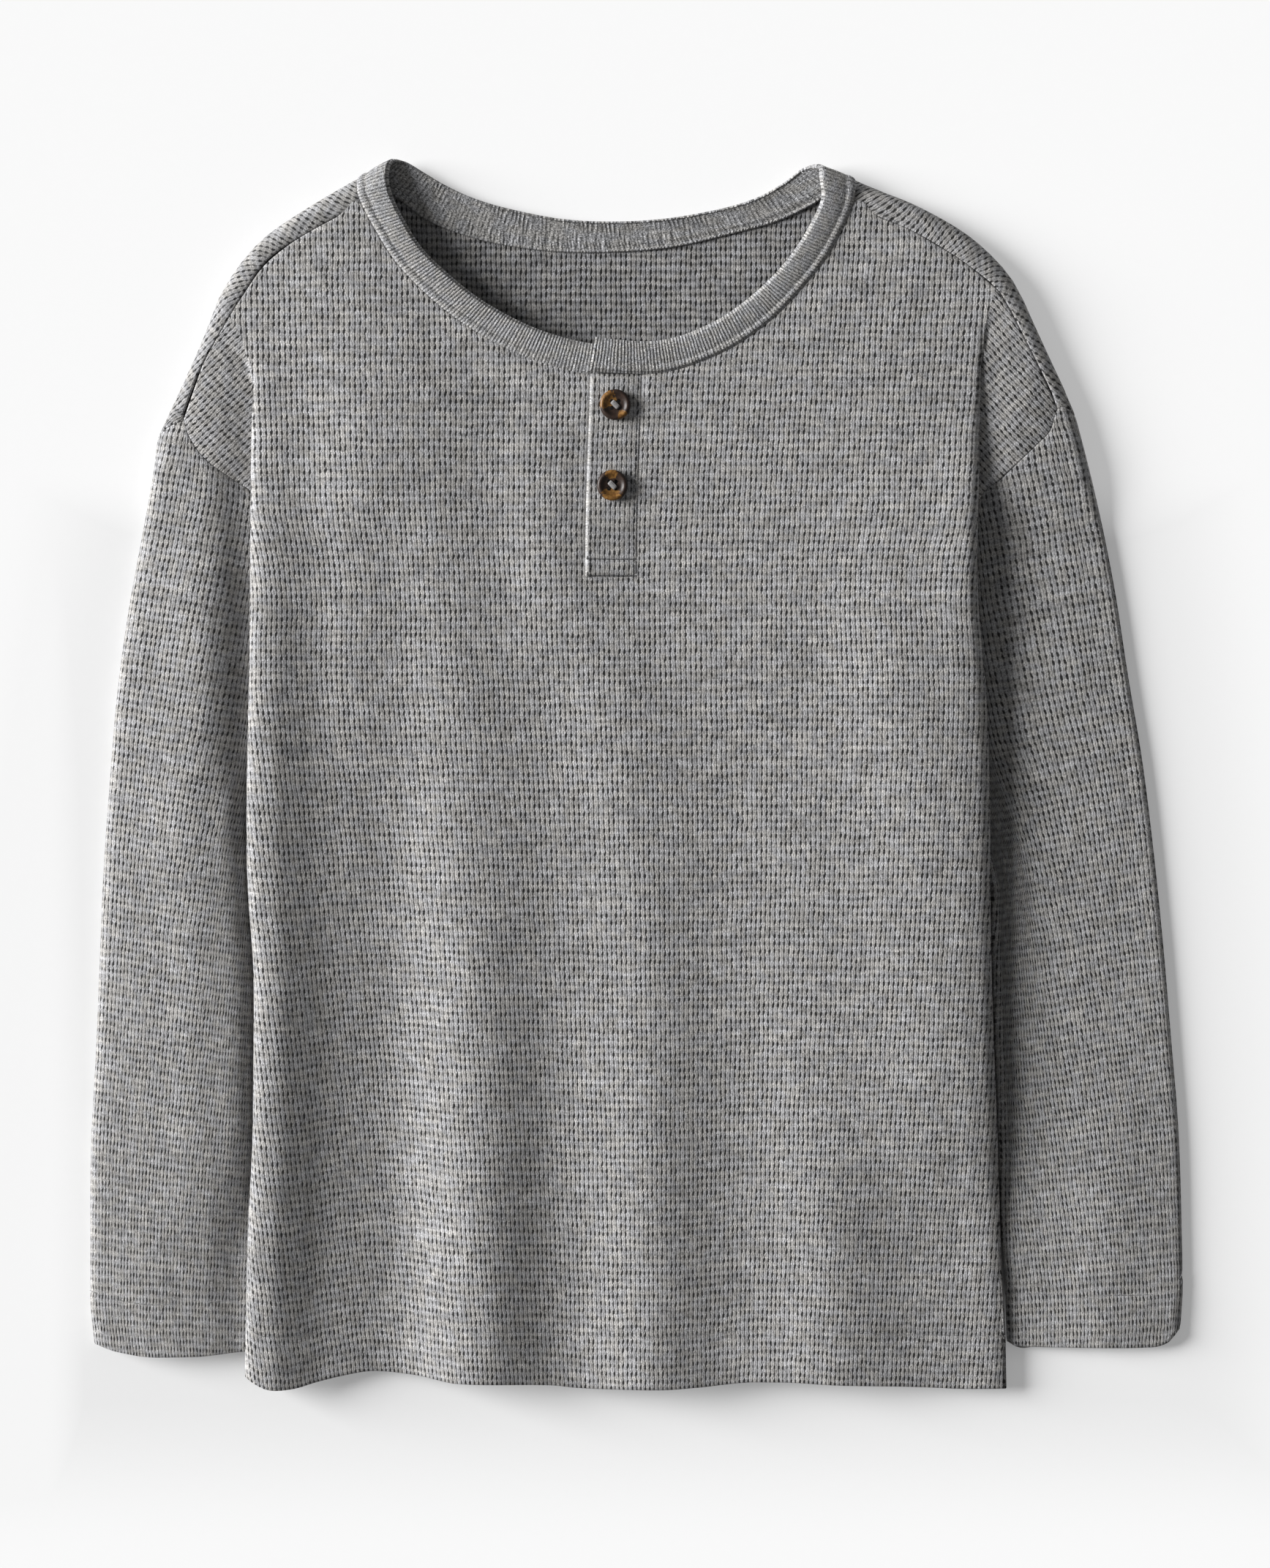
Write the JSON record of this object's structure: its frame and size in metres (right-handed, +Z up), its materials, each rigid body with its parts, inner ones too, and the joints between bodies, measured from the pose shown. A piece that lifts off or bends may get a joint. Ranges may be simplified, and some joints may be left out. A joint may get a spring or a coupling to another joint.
{
  "type": "thermal top",
  "caption": "Child's long-sleeved waffle-knit thermal top laid flat, with a round ribbed neckband, a short buttoned placket, drop shoulders and turned hems.",
  "frame": {"origin": "on the surface that the top lies on, below the middle of its bounding box", "axes": "+X to the right as the laid top is read (towards the wearer's left sleeve), +Y from the hem towards the neck, +Z up out of the surface, away from the back panel"},
  "size_m": [0.4325, 0.4866, 0.0169],
  "materials": {
    "heather_knit": "matt heather waffle knit and rib",
    "tortoiseshell": "polished resin"
  },
  "bodies": {
    "root": {"back": "heather_knit", "front": "heather_knit", "sleeve_right": "heather_knit", "sleeve_left": "heather_knit", "neckband": "heather_knit", "placket_overlap": "heather_knit", "placket_underlap": "heather_knit", "button_upper": "tortoiseshell", "button_lower": "tortoiseshell"}
  },
  "joints": []
}
